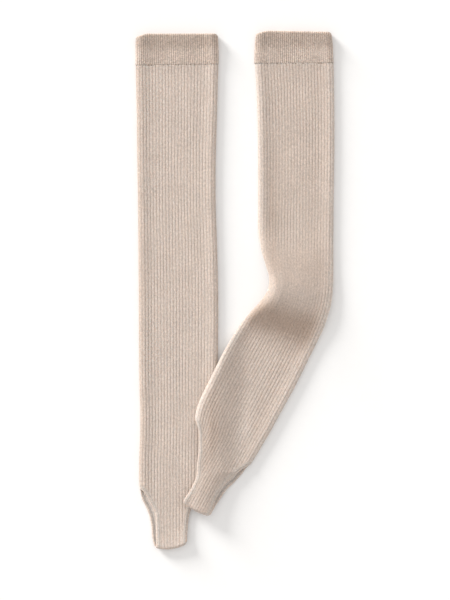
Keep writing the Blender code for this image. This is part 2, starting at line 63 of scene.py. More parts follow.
@dataclass
class Table:
    """Rows of numbers with named columns; the first column is the place of each row."""

    columns: str
    rows: tuple

    def at(self, place):
        """The columns at a place between the rows, by name, eased through the rows."""
        rows = np.array(self.rows, float)
        knots, values = rows[:, 0], rows[:, 1:]
        steps = np.diff(knots)[:, None]
        chords = np.diff(values, axis=0) / steps
        inner = (chords[1:] * steps[:-1] + chords[:-1] * steps[1:]) / (steps[1:] + steps[:-1])
        slopes = np.vstack([chords[:1], inner, chords[-1:]])
        k = int(np.clip(np.searchsorted(knots, place) - 1, 0, len(knots) - 2))
        step = steps[k, 0]
        u = (place - knots[k]) / step
        found = (
            values[k] * (1 + 2 * u) * (1 - u) ** 2
            + slopes[k] * step * u * (1 - u) ** 2
            + values[k + 1] * u * u * (3 - 2 * u)
            + slopes[k + 1] * step * u * u * (u - 1)
        )
        return dict(zip(self.columns.split()[1:], (float(v) for v in found)))


@dataclass
class Knit:
    """A knitted tube's cloth, and how it lies when it is flat."""

    wall: float  # thickness over the ribs
    relief: float  # depth of the grooves between the ribs
    ribs: int  # ribs round the tube
    wales: int  # wales in a rib and its groove
    course: float  # height of a row of stitches
    height: float  # of the laid tube, in its middle
    side_swell: float  # how much higher the sides stand, where the cloth turns round
    side_radius: float  # of that turn


LEG_KNIT = Knit(
    wall=2.3, relief=0.5, ribs=52, wales=3, course=1.25, height=6.2, side_swell=1.7, side_radius=4.2
)
WELT_KNIT = Knit(
    wall=3.3, relief=0.5, ribs=80, wales=2, course=1.25, height=7.7, side_swell=1.3, side_radius=4.7
)
SIDE_SAMPLES = 40
PANEL_SAMPLES = 240
SWELL_PLACE = 6.0  # how far from the side the tube is highest
SWELL_SPREAD = 10.0
HUMP_PEAK = -0.55  # where a puffed front panel is highest, -1 at the heel side to 1
HUMP_FALL = 0.5  # how much lower it is at the heel side
PUFF_RADIUS = 0.25  # how much of the puff goes into the sides' radius
SHOULDER = 2.0  # how far in from a side its turn goes on top, in side radii
SIDE_THINNED = 0.45  # how much thinner the wall is where it turns sharply at a side
SIDE_REACH = 0.04  # and how far round the tube from there

# A leg's lie, a row for each section down from the seam: the heel side and the toe side of the
# flat tube, how much the section is lifted, how much the front panel stands off the back one,
# how much the heel side alone is lifted, and how far the cloth is rolled under that side.
LEG_COLUMNS = "down heel_x heel_y toe_x toe_y rise puff lean roll"
LEFT_LEG = Table(LEG_COLUMNS, (
    (0, -24, 328.8, -144.6, 327.3, 0, 0, 0, 0),
    (65.5, -25.8, 262.4, -143.2, 262.4, 0, 0, 0, 0),
    (145, -28, 182.9, -142.2, 182.9, 0, 0, 0, 0),
    (196.6, -28, 131.3, -141.3, 131.3, 0, 0, 0, 0),
    (262, -26, 65.9, -140.6, 65.9, 0, 0, 0, 0),
    (327.6, -24.4, 0.3, -140.2, 0.3, 0, 0, 0, 0),
    (458.6, -25.4, -130.7, -139.3, -130.7, 0, 0, 0, 0),
    (516.9, -26.2, -189, -137.9, -189, 0, 0, 0, 0),
    (592.3, -26.6, -264.4, -139.6, -264.4, 0, 0, 0, 0),
    (617.3, -26.6, -289.4, -139.2, -289.4, 0, 0, 0, 0),
    (665.3, -26.6, -337.4, -138.8, -337.4, 0, 0.2, 0, 0),
    (690.3, -26.6, -362.4, -138.8, -362.4, 0.9, 1.2, 0, 0),
    (705.3, -26.6, -377.4, -138.8, -377.4, 2.4, 2.4, 0, 0),
))
RIGHT_LEG = Table(LEG_COLUMNS, (
    (0, 28.8, 329.9, 143.6, 330.5, 0, 0, 0, 0),
    (50, 31.6, 279.8, 144.5, 279.8, 0, 0, 0, 0),
    (111, 33.1, 218.7, 144.8, 218.7, 0, 0, 0, 0),
    (198, 33.5, 131.3, 143.7, 131.3, 0, 0, 0, 0),
    (249, 34.2, 80.4, 143.3, 80.4, 0, 1, 0.5, 0.004),
    (278, 39.2, 54.2, 143.2, 48.3, 0, 4, 2.4, 0.022),
    (301, 45, 35.2, 143.2, 22.1, 0.3, 7, 4.8, 0.044),
    (321, 49.4, 17.8, 142.6, 0.3, 0.8, 9.5, 6.8, 0.052),
    (341, 47.3, 0.3, 139.4, -22.7, 1.4, 11, 7.5, 0.046),
    (364, 35.4, -17.2, 133, -44.6, 1.4, 11, 6.6, 0.032),
    (378, 26.2, -27.4, 127.9, -57.9, 0.9, 8.8, 4.8, 0.022),
    (394, 15.8, -39.2, 120.2, -74.3, 0.3, 4, 2, 0.012),
    (417, 4.2, -55, 108.7, -97.6, 0, 0.7, 0.3, 0.003),
    (452, -12, -81.2, 91.3, -133, 0, 0, 0, 0),
    (510.2, -37.9, -132.1, 63.2, -184.8, 0, 0, 0, 0),
    (537.9, -50, -156.8, 49.8, -209.3, 0, 0, 0, 0),
    (554.8, -55.9, -172.9, 40.9, -224, 0, 0, 0, 0),
    (570.5, -58.9, -188.6, 32.9, -237.6, 0, 0, 0, 0),
    (590.3, -66.3, -207.1, 22.4, -254.7, 0, 0, 0, 0),
    (646.4, -93.5, -256.4, -4.9, -304.2, 0, 0.3, 0, 0),
    (671.4, -105.4, -278.4, -16.8, -326.2, 0.8, 1.3, 0, 0),
    (686.4, -112.5, -291.6, -23.9, -339.4, 2.2, 2.4, 0, 0),
))

# How far the heel and toe openings are cut in from the tube's sides, by the distance below
# the opening's top, in the front panel and in the back one.
SCOOP_COLUMNS = "drop front back"
LEFT_HEEL_SCOOP = Table(SCOOP_COLUMNS, (
    (0, 0, 0), (7, 11.7, 11), (20, 20.7, 20.5), (35, 28.7, 30), (51, 36.2, 38.5), (64, 40.2, 42.5),
    (79, 41.8, 43.5), (113, 43.6, 43.6),
))
LEFT_TOE_SCOOP = Table(SCOOP_COLUMNS, (
    (0, 0, 0), (3, 5.4, 0.6), (8, 9.2, 1.3), (16, 13.8, 4.2), (25, 18.4, 8.8), (35, 22.2, 13),
    (52, 23.8, 16.8), (74, 24, 18.6), (88, 24.4, 22),
))
RIGHT_HEEL_SCOOP = Table(SCOOP_COLUMNS, (
    (0, 0, 0), (4, 5.2, 5.6), (10, 10.2, 11.4), (22.4, 16.6, 19), (38.1, 24.2, 27.6),
    (54, 31.2, 35.8), (69, 38.8, 43), (85, 41, 44.6), (103, 40.6, 42.4), (115.9, 39.4, 39.4),
))
RIGHT_TOE_SCOOP = Table(SCOOP_COLUMNS, (
    (0, 0, 0), (6.7, 4.6, 2.4), (18.1, 10.6, 4.8), (33.6, 16.5, 8.6), (45, 18.8, 13),
    (57.2, 20, 14.6), (68.3, 19.3, 15.6), (80.5, 17.7, 16.4), (96.4, 16.8, 16.8),
))
FOLD_FADE = 34.0  # the strap's end is bowed from here to its fold
BOW_MOST = 2.0  # times the bow's depth

# A welt's lie, a row for each section up from 0.3 above the leg: its two sides, how much
# thicker its cloth is than at the seam, and how much higher it lies there.
WELT_COLUMNS = "up heel_x heel_y toe_x toe_y thicker higher"
LEFT_WELT_LIE = Table(WELT_COLUMNS, (
    (0, -23.7, 329.1, -145, 327.6, 0, 0),
    (14, -23.6, 342.8, -144.8, 341.8, 0, 0.2),
    (26, -23.9, 354.8, -144.7, 354.2, 0.4, 1.2),
    (36.5, -24.3, 365, -144.6, 365, 1.1, 2.9),
    (42.5, -24.6, 371, -144.5, 371, 1.5, 3.6),
))
RIGHT_WELT_LIE = Table(WELT_COLUMNS, (
    (0, 27.9, 330.2, 143.6, 330.8, 0, 0),
    (14, 28.1, 344.4, 143, 344.4, 0, 0.2),
    (28, 28.8, 358.2, 142.4, 357.4, 0.4, 1.2),
    (40.5, 29.6, 370.3, 141.4, 368.6, 1.1, 2.9),
    (45.6, 30.1, 375.6, 141, 373.5, 1.5, 3.6),
))

# Where the right warmer lies on the left one
LAY_GAP = 1.1  # clearance between the two
LAY_FALL = 42.0  # how far beyond the left warmer's edge it comes down to the sheet
LAY_SCOOP_SHARE = 0.6  # how much of the left warmer's heel cut it sags into

# The leg's meshes: columns to a rib, how far apart the rows are, and the sampled surface
RIB_COLUMNS = 6
TUBE_ROW = 4.4
BEND_ROW = 3.2
CUT_ROW = 2.0
CUT_AHEAD = 8.0  # the close rows start this far above the heel opening
FOLD_ROWS = 12
SAMPLE_ROW = 1.0
SAMPLES_A_RIB = 16
GIRTH_STEP = 5.0
MERGE_DISTANCE = 2e-5  # in metres

GROOVE_REACH = 0.22  # half a groove, as a share of a rib and its groove
LINE_REACH = 0.1  # half the fine line between a rib's two wales
LINE_DEPTH = 0.14
DRIFT = 0.0011  # how far a rib strays sideways, as a share of the way round
DRIFT_WAVES = ((1.0, 61.0, 9.0), (0.6, 23.0, 31.0))  # how much, over what length, how slanted
SMOOTH_TOE_FADE = 0.16  # cloth that is stretched smooth has its ribs back in these shares
SMOOTH_HEEL_FADE = 0.04

# The edging round an opening, all round its cross-section: how far in from the cut edge, and how
# deep below the ribs' tops. It comes out to the edge on the outside and goes back on the inside.
EDGING_PROFILE = (
    (6.1, 1.3), (5.6, 0.7), (5, 0.5), (4.5, -0.1), (3.9, -0.35), (3.3, 0.05), (2.9, 0.35),
    (2.5, 0.25), (1.8, 0.3), (1, 0.7), (0.35, 1.2), (0, 1.6), (0.35, 2.05), (1.1, 2.35), (1.9, 2.5),
    (2.9, 2.3), (3.9, 2.5), (5.2, 2.3), (6.1, 1.9),
)
EDGING_STEP = 1.4  # along the edge
EDGING_EASE = 3.5  # corners of the cut are rounded over this length
CLOTH_END = 2.7  # the ribbed cloth ends this far inside the edging
RIBS_END = 5.6  # and its ribs die away from here on
RIBS_FADE = 3.0
SINK = 0.45  # how far the cloth goes down under the edging
SINK_OVER = 1.5
EDGING_OUTER = 4.4  # the groove between the edging and the ribs is from here on
EDGING_WALE = 0.25  # wales between the profile's points
EDGING_SHADE_FROM = 0.1  # painted shade: its yarn is darker from this far below the ribs' tops
EDGING_SHADE_OVER = 0.6  # and deepest this much further down
EDGING_SHADE_SHARE = 0.4  # of that, outside the groove
EDGE_SAMPLE = 0.5  # how close the cut edge is sampled
EDGE_REACH = 12.0  # distances to the edge are worked out from this far above the opening
FAR = 99.0  # and are this much anywhere else

# The seam between a leg and its welt
SEAM_STEP = 1.5  # the welt is this much thicker, and the two meet halfway
SEAM_EASE = 12.0
SEAM_OVERLAP = 0.2
SEAM_ROWS = (0.0, 0.4, 1.0, 2.0, 3.4)  # the leg's first rows, so that its end stays crisp
SEAM_GROOVE = 0.06  # how deep both ends go down into the seam
SEAM_ROUND = 2.4

WELT_ROWS = 38
WELT_RIM_ROWS = 11
WELT_ROW_LEAST = 0.3  # a row's height in the knit map, where the band turns over
WELT_GROOVE_POWER = 1.4  # above 1, its grooves are narrower than its ribs
LINKING_STITCHES = 44
STITCH_DOWN = 0.9  # where a stitch starts, below the seam
STITCH_UP = 1.0  # and ends, above it
STITCH_STRAY = (0.18, 2.7)  # how far they stray along the seam, and how that varies
STITCH_SPREAD = (0.3, 5.3)  # the same for their width
SUNK_STITCHES = ((7, (2, 5)), (11, (4,)))  # out of every so many, those that don't show
STITCH_WIDTH = 2.0
STITCH_HEIGHT = 0.9
STITCH_LENGTH = 0.45  # half of it, as a share of the way from the leg to the welt
STITCH_DEPTH = 0.2

# The yarn on the ribs, and the darker colour deep in the knit, which is painted shade; a groove is
# only part of the way to it
LEG_CREST = (0.67, 0.587, 0.529, 1.0)
LEG_VALLEY_AND_PAINTED_SHADE = (0.43, 0.33, 0.268, 1.0)
LEG_BASE_TONE = 0.25  # a leg's plain knit is this far from its crest's colour to its valley's
WELT_CREST = (0.69, 0.58, 0.51, 1.0)
WELT_VALLEY_AND_PAINTED_SHADE = (0.46, 0.366, 0.303, 1.0)
# painted shade in the ribs' grooves, as shares of the way to the valley colour, for the legs and the
# welts
GROOVE_PAINTED_SHADE = 0.375
WELT_GROOVE_PAINTED_SHADE = 0.8
WELT_TOP_PAINTED_SHADE = 0.32  # painted shade: how much darker the band along a welt's turned edge is made
WELT_TOP_FROM = 16.0
WELT_TOP_LENGTH = 16.0
SIDE_PAINTED_SHADING_FADE = 0.07  # a side's painted shade or painted light goes over into the middle's tone in this share
BEND_PAINTED_SHADES = ((298.0, 34.0, 0.2), (383.0, 28.0, 0.63))  # painted shade at the bend: where, how long, how deep
BEND_SHADE_TOE_FADE = 0.1  # they fade away in this share at the toe side
BEND_SHADE_HEEL_FADE = 0.08
BEND_SHADE_HEEL_LEAST = 0.4  # and to this much of them at the heel side
# a dark colour for the linking stitches, which is painted shade for the gaps at the seam
LINKING_PAINTED_SHADE = (0.27, 0.21, 0.17, 1.0)

# The knit's finish: how fine its noises are, in cycles to a metre, and how much each one does
STRAND_SCALE = 900.0
PATCH_SCALE = 38.0
LUMP_SCALE = 420.0
PILL_SCALE = 330.0
STREAK_SCALE = 0.9  # cycles to a wale
STREAK_STRETCH = 0.35  # times as many to a row of stitches
STITCH_SLANT = 1.3  # how steeply a stitch's two halves rise, in rows to a wale
LOOP_HEIGHT = 0.55  # of a stitch's height, the share that comes and goes along it
STRAND_HEIGHT = 0.5
LUMP_HEIGHT = 0.9
STITCH_PAINTED_SHADES = (0.88, 1.05, 0.15, 1.25)  # painted shade and light on the stitches: darkest and lightest, at the lowest and the highest
PILL_TONE = 0.04
STREAK_TONE = 0.1

# Painted shade in bands down the right leg's front panel, or painted light where the last number
# is negative: where, at what share, how that drifts for each millimetre down, how wide in shares,
# how long, and how deep.
RIGHT_PAINTED_BANDS = (
    (220, 0.10, 0, 0.04, 80, 0.2),
    (557, 0.35, 0.0012, 0.05, 60, -0.22),
    (570, 0.15, 0.0017, 0.06, 60, 0.32),
)

PAPER_SIZE = 8.0
PAPER_GAP = 0.0002
PAPER_GRAIN = 60.0
PAPER_TONES = (0.914, 0.924)
LENS = 300.0
SENSOR = 36.0
VIEW_CENTRE = (-0.0143, -0.0143)
VIEW_HEIGHT = 0.8736
SUN_STRENGTH = 4.2
SUN_ANGLE = 0.36
SUN_ELEVATION = 13.5
SUN_SIDEWAYS = 0.707  # as much from the left as from the top
SUN_COLOUR = (1.0, 0.985, 0.965)
SKY_STRENGTH = 0.83
SKY_COLOUR = (1.0, 0.98, 0.962, 1.0)


@dataclass
class Leg:
    """One warmer's leg: its lie, its openings and where the strap's fold bows out."""

    lie: Table
    heel_scoop: Table
    toe_scoop: Table
    heel_top: float  # the openings' tops, above the fold
    toe_top: float
    bow_centre: float  # across
    bow_span: float
    bow_depth: float
    bend: tuple  # between these places down the leg its rows are closer
    smooth: tuple = ()  # where it is stretched smooth, over what length, and what ribs are left
    tone: float = 0.0  # how much deeper its yarn looks between its sides
    heel_painted_shading: float = 0.0  # painted shade at its heel side, or painted light where negative
    toe_painted_shading: float = 0.0  # painted shade at its toe side, or painted light where negative
    # painted shade, or painted light, in bands down the front panel
    painted_bands: tuple = ()

    @property
    def length(self):
        return self.lie.rows[-1][0]

    def bow(self, across):
        """How far the strap's fold bows in at a place across it."""
        share = np.minimum(((across - self.bow_centre) / self.bow_span) ** 2, BOW_MOST)
        return self.bow_depth * share


LEFT = Leg(
    LEFT_LEG, LEFT_HEEL_SCOOP, LEFT_TOE_SCOOP, heel_top=113.0, toe_top=88.0,
    bow_centre=17.0, bow_span=24.0, bow_depth=6.0, bend=(0.0, 0.0), toe_painted_shading=0.2,
)
RIGHT = Leg(
    RIGHT_LEG, RIGHT_HEEL_SCOOP, RIGHT_TOE_SCOOP, heel_top=115.9, toe_top=96.4,
    bow_centre=12.0, bow_span=24.0, bow_depth=4.5, bend=(240.0, 430.0),
    smooth=(325.0, 68.0, 0.3), tone=0.1, heel_painted_shading=-0.25, toe_painted_shading=-0.25, painted_bands=RIGHT_PAINTED_BANDS,
)


@dataclass
class Welt:
    """One warmer's welt: its lie, and how its two top corners are rounded off."""

    lie: Table
    heel_corner: tuple  # over this length and by this drop
    toe_corner: tuple

    def drop(self, half, across):
        """How far the top edge is rounded off at places across it."""
        found = np.zeros_like(across)
        for side, (length, most) in ((-1, self.heel_corner), (1, self.toe_corner)):
            share = np.maximum(1 - (half - side * across) / length, 0.0) ** 2
            found += np.where(side * across > 0, most * share, 0.0)
        return found


LEFT_WELT = Welt(lie=LEFT_WELT_LIE, heel_corner=(5.5, 3.4), toe_corner=(20.0, 6.0))
RIGHT_WELT = Welt(lie=RIGHT_WELT_LIE, heel_corner=(22.0, 5.8), toe_corner=(6.0, 3.6))


def ease(share):
    """0 below 0, 1 above 1, with a soft start and end between."""
    share = np.clip(share, 0.0, 1.0)
    return share * share * (3 - 2 * share)


class Section:
    """One cross-section of a laid tube: its outline, and where that stands."""

    def __init__(self, knit, heel, toe, rise=0, puff=0, lean=0, roll=0, thicker=0, higher=0):
        heel, toe = np.array(heel), np.array(toe)
        self.roll, self.rise, self.lean = roll, rise, lean
        self.centre = (heel + toe) / 2
        self.half = np.hypot(*(toe - heel)) / 2
        self.across = (toe - heel) / (2 * self.half)
        self.along = np.array((self.across[1], -self.across[0]))
        if self.along[1] > 0:
            self.along = -self.along
        self.wall = knit.wall + thicker
        radius = knit.side_radius + thicker + PUFF_RADIUS * puff
        quarter = np.linspace(0.0, math.pi / 2, SIDE_SAMPLES)
        round_side = -self.half + radius * (1 - np.cos(quarter))
        middle = np.linspace(-self.half + radius, self.half - radius, PANEL_SAMPLES)[1:-1]
        a = np.concatenate([round_side, middle, -round_side[::-1]])
        share = np.concatenate([np.sin(quarter), np.ones_like(middle), np.sin(quarter)[::-1]])
        inset = self.half - abs(a)
        swell = knit.side_swell * np.exp(-(((inset - SWELL_PLACE) / SWELL_SPREAD) ** 2))
        swell = np.where(inset < SWELL_PLACE, knit.side_swell, swell)
        top = knit.height + higher + swell + puff * self.hump(a / self.half)
        shoulder = np.sqrt(1 - np.clip(1 - inset / (SHOULDER * radius), 0.0, 1.0) ** 2)
        front = radius + (top - radius) * shoulder
        back = radius * (1 - share)
        self.panels = [self.measured(a, front), self.measured(a[::-1], back[::-1])]

    @staticmethod
    def hump(u):
        """How a puffed front panel is shared out, highest towards the heel side."""
        heel_side = 1 - HUMP_FALL * ((HUMP_PEAK - u) / (1 + HUMP_PEAK)) ** 2
        return np.where(u < HUMP_PEAK, heel_side, (1 - u) / (1 - HUMP_PEAK))

    @staticmethod
    def measured(a, z):
        """An outline's points with their places from 0 to 1 and their outward normals."""
        da, dz = np.gradient(a), np.gradient(z)
        length = np.hypot(da, dz)
        normal_a, normal_z = -dz / length, da / length
        normal_a[0], normal_z[0] = math.copysign(1, a[0]), 0.0
        normal_a[-1], normal_z[-1] = math.copysign(1, a[-1]), 0.0
        place = np.concatenate([[0.0], np.cumsum(np.hypot(np.diff(a), np.diff(z)))])
        return place / place[-1], a, z, normal_a, normal_z

    def points(self, turn, depth=0.0):
        """(across, height) at turns round the tube, this deep inside the outline."""
        turn = np.mod(turn, 1.0)
        turn = np.where(turn < self.roll, turn + 1, turn)
        on_front = turn <= 0.5
        front_place = (turn - self.roll) / (0.5 - self.roll)
        back_place = (turn - 0.5) / (0.5 + self.roll)
        front, back = self.panels
        a, z, normal_a, normal_z = (
            np.where(
                on_front,
                np.interp(front_place, front[0], front[k]),
                np.interp(back_place, back[0], back[k]),
            )
            for k in range(1, 5)
        )
        scale = depth / np.hypot(normal_a, normal_z)
        return a - scale * normal_a, z - scale * normal_z

    def share_at(self, across, front):
        """The sheet's share at which a panel is this far across."""
        places, a = self.panels[0 if front else 1][:2]
        if front:
            return self.roll + (0.5 - self.roll) * float(np.interp(across, a, places))
        turn = 0.5 + (0.5 + self.roll) * float(np.interp(across, a[::-1], places[::-1]))
        return 1 - turn

    def around(self):
        return sum(float(np.hypot(np.diff(p[1]), np.diff(p[2])).sum()) for p in self.panels)

    def stand(self, across, height, down=0.0):
        """Where points of the section stand on the sheet, `down` the leg from it."""
        spot = np.outer(across, self.across) + np.outer(down + 0 * across, self.along)
        lean = self.lean * (1 - across / self.half) / 2
        return np.column_stack([self.centre + spot, height + self.rise + lean])


def leg_section(leg, down):
    """The leg's cross-section this far down from its seam."""
    at = leg.lie.at(down)
    lifts = {name: max(at[name], 0.0) for name in ("rise", "puff", "lean", "roll")}
    return Section(LEG_KNIT, (at["heel_x"], at["heel_y"]), (at["toe_x"], at["toe_y"]), **lifts)


def scoop(table, drop, front):
    """How far an opening is cut in from the tube's side, this far below its top."""
    return max(table.at(drop)["front" if front else "back"], 0.0)


def left_edge(y):
    """The left warmer's right-hand edge beside the right warmer, cut in at the heel."""
    up = y - LEFT.lie.at(LEFT.length)["heel_y"]
    edge = LEFT.lie.at(min(max(LEFT.length - up, 0.0), LEFT.length))["heel_x"]
    drop = min(max(LEFT.heel_top - up, 0.0), LEFT.heel_top)
    return edge - LAY_SCOOP_SHARE * scoop(LEFT.heel_scoop, drop, True)


LEFT_EDGE_Y = np.arange(-400.0, 400.0, 1.0)
LEFT_EDGE_X = np.array([left_edge(y) for y in LEFT_EDGE_Y])


def lie_over_left(points):
    """How far the right warmer is held up by the left one at each point."""
    inside = np.interp(points[..., 1], LEFT_EDGE_Y, LEFT_EDGE_X) - points[..., 0]
    crest = np.exp(-(((np.maximum(inside, SWELL_PLACE) - SWELL_PLACE) / SWELL_SPREAD) ** 2))
    height = LEG_KNIT.height + LEG_KNIT.side_swell * crest + LAY_GAP
    return height * (1 - ease(-inside / LAY_FALL))


def lie_flat(points):
    return np.zeros(points.shape[:-1])


# Soft ridges (or troughs, where the height is negative) on a leg's front panel: how far down and
# across, how long, how wide, how high, and how many degrees they slant from straight down.
LEFT_CREASES = (
    (60, -18, 55, 11, 0.35, 4),
    (120, 22, 70, 15, -0.30, -3),
    (205, -30, 90, 10, 0.30, 2),
    (250, 8, 60, 14, -0.25, 6),
    (330, 30, 80, 12, 0.30, -4),
    (395, -12, 75, 16, -0.35, 3),
    (480, 16, 60, 12, 0.25, 5),
    (545, -22, 50, 10, 0.30, -8),
    (610, 8, 40, 9, -0.30, 10),
)
RIGHT_CREASES = (
    (45, 20, 60, 12, 0.35, -5),
    (105, -24, 65, 12, -0.30, 4),
    (170, 12, 70, 15, 0.30, 3),
    (258, -4, 40, 24, -1.20, 0),
    (455, 18, 50, 12, 0.35, 8),
    (500, -18, 60, 10, -0.35, -6),
    (552, 27, 45, 12, 0.80, 18),
    (557, 1, 50, 15, -1.30, 21),
    (565, -33, 45, 14, 2.20, 21),
    (610, -8, 40, 9, -0.30, -8),
)


def creases_at(creases, down, across):
    """How much the creases lift the front panel at one row's places across."""
    lift = np.zeros_like(across)
    for centre, middle, length, width, height, slant in creases:
        beside = across - middle - (down - centre) * math.tan(math.radians(slant))
        lift += height * np.exp(-(((down - centre) / length) ** 2) - (beside / width) ** 2)
    return lift


def side_thinning(away):
    """How much of the wall's thickness is left, this far round the tube from a side."""
    return 1 - SIDE_THINNED * (1 - ease(away / SIDE_REACH))


class LegSurface:
    """A leg's outer surface, sampled over its long sheet and read back at any place."""

    def __init__(self, leg, held_up, creases):
        self.leg, self.creases = leg, creases
        fold = leg_section(leg, leg.length)
        front, back = (fold.points(np.array([turn]))[1][0] for turn in (0.25, 0.75))
        self.radius = (front - back) / 2
        self.start = leg.length - self.radius  # where the strap's fold starts
        self.arc = math.pi * self.radius
        self.run = 2 * self.start + self.arc
        columns = LEG_KNIT.ribs // 2 * SAMPLES_A_RIB
        step = 0.5 / columns
        shares = np.linspace(-step, 0.5 + step, columns + 3)
        runs = np.linspace(0.0, self.run, int(self.run / SAMPLE_ROW) + 1)
        points = np.array([self.row(run, shares) for run in runs])
        points[..., 2] += held_up(points)
        along, athwart = np.gradient(points, axis=0), np.gradient(points, axis=1)
        normals = np.cross(athwart, along)
        normals /= np.linalg.norm(normals, axis=2, keepdims=True)
        if normals[len(runs) // 8, columns // 2, 2] < 0:
            normals = -normals
        self.columns, self.runs = columns, runs
        self.grid = np.concatenate([points, normals], axis=2)[:, 1:-1]
        self.downs = np.arange(0.0, leg.length + 1, GIRTH_STEP)
        sections = [leg_section(leg, min(down, leg.length)) for down in self.downs]
        self.arounds = np.array([section.around() for section in sections])
        self.rolls = np.array([section.roll for section in sections])

    def row(self, run, shares):
        """The points of one row of the sheet."""
        leg = self.leg
        down = min(run, self.run - run, self.start)
        section = leg_section(leg, down)
        bowed = max(1 - (leg.length - down) / FOLD_FADE, 0.0)
        front_a, front_z = section.points(shares)
        middle = np.sin(2 * math.pi * shares)  # 1 in the middle of a panel, 0 at its sides
        front_z = front_z + creases_at(self.creases, down, front_a) * middle
        front_z = front_z + SEAM_STEP / 2 * (1 - ease(down / SEAM_EASE)) * middle
        if run <= self.start:
            return section.stand(front_a, front_z, -leg.bow(front_a) * bowed)
        back_a, back_z = section.points(1 - shares)
        if run >= self.run - self.start:
            return section.stand(back_a, back_z, -leg.bow(back_a) * bowed)
        angle = (run - self.start) / self.radius
        turned = (1 - math.cos(angle)) / 2
        across = front_a + (back_a - front_a) * turned
        height = front_z + (back_z - front_z) * turned
        return section.stand(across, height, self.radius * math.sin(angle) - leg.bow(across) * bowed)

    def around(self, run):
        """The tube's girth at places along the sheet."""
        return np.interp(np.minimum(run, self.run - run), self.downs, self.arounds)

    def wall(self, run, share):
        """How thick the wall is at places, less at the sides, also where the heel side is rolled."""
        roll = np.interp(np.minimum(run, self.run - run), self.downs, self.rolls)
        from_heel = np.where(run < self.run / 2, abs(share - roll), share + roll)
        return LEG_KNIT.wall * side_thinning(np.minimum(from_heel, 0.5 - share))

    def at(self, run, share, depth):
        """Points on the sheet in metres, this deep under the ribs' tops, never below the floor."""
        run, share, depth = (np.asarray(v, float) for v in (run, share, depth))
        beyond = (share < 0) | (share > 0.5)
        run = np.where(beyond, self.run - run, run)
        share = np.where(share < 0, -share, np.where(share > 0.5, 1 - share, share))
        i = np.clip(run / self.run * (len(self.runs) - 1), 0, len(self.runs) - 1 - 1e-9)
        j = np.clip(share / 0.5 * self.columns, 0, self.columns - 1e-9)
        row, column = i.astype(int), j.astype(int)
        p, q = (i - row)[..., None], (j - column)[..., None]
        found = (
            self.grid[row, column] * (1 - p) * (1 - q)
            + self.grid[row, column + 1] * (1 - p) * q
            + self.grid[row + 1, column] * p * (1 - q)
            + self.grid[row + 1, column + 1] * p * q
        )
        points = found[..., :3] - depth[..., None] * found[..., 3:]
        points[..., 2] = np.maximum(points[..., 2], 0.0)
        return points * MM + shift

    def rows(self):
        """Where the mesh has its rows along the sheet, the same on both panels."""
        close = self.leg.length - self.leg.heel_top - CUT_AHEAD
        places, down = list(SEAM_ROWS[:-1]), SEAM_ROWS[-1]
        low, high = self.leg.bend
        while down < self.start - CUT_ROW / 2:
            places.append(down)
            step = TUBE_ROW
            if low <= down < high:
                step = BEND_ROW
            if down >= close:
                step = CUT_ROW
            down += step
        fold = [self.start + self.arc * k / FOLD_ROWS for k in range(FOLD_ROWS + 1)]
        return np.array([*places, *fold, *(self.run - place for place in reversed(places))])


